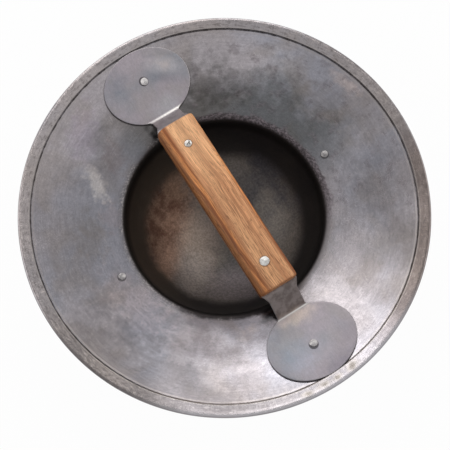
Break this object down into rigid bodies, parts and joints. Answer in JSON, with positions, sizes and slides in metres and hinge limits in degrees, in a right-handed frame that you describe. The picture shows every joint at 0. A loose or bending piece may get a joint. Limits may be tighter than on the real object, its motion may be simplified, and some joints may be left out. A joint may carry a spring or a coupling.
{
  "type": "buckler",
  "caption": "Small round steel shield with a hollow boss, folded hem and a wooden hand grip on a riveted steel strap across its back.",
  "frame": {"origin": "the middle of the boss's crown, the lowest point of the shield, on the shield's axis", "axes": "+Z along the shield's axis from the boss's crown towards the wielder, so the back of the shield is up; +Y along the grip; +X across the grip, towards the side the strap is set off to"},
  "size_m": [0.3, 0.3, 0.0945],
  "materials": {
    "body_steel": "dark grey, patchy, worn and hand-brushed, brown rust inside the boss",
    "strap_steel": "smoother blue-grey, lightly brushed",
    "brim_rivet_steel": "light grey, worn bright on top",
    "grip_rivet_steel": "bright, lightly polished",
    "grip_wood": "tan wood with long brown grain, oiled and worn, satin"
  },
  "bodies": {
    "root": {"shield_body": "body_steel", "grip_strap": "strap_steel", "plate_rivet_upper": "brim_rivet_steel", "plate_rivet_lower": "brim_rivet_steel", "body_rivet_left": "brim_rivet_steel", "body_rivet_right": "brim_rivet_steel", "outer_grip_scale": "grip_wood", "inner_grip_scale": "grip_wood", "grip_rivet_upper": "grip_rivet_steel", "grip_rivet_lower": "grip_rivet_steel"}
  },
  "joints": []
}
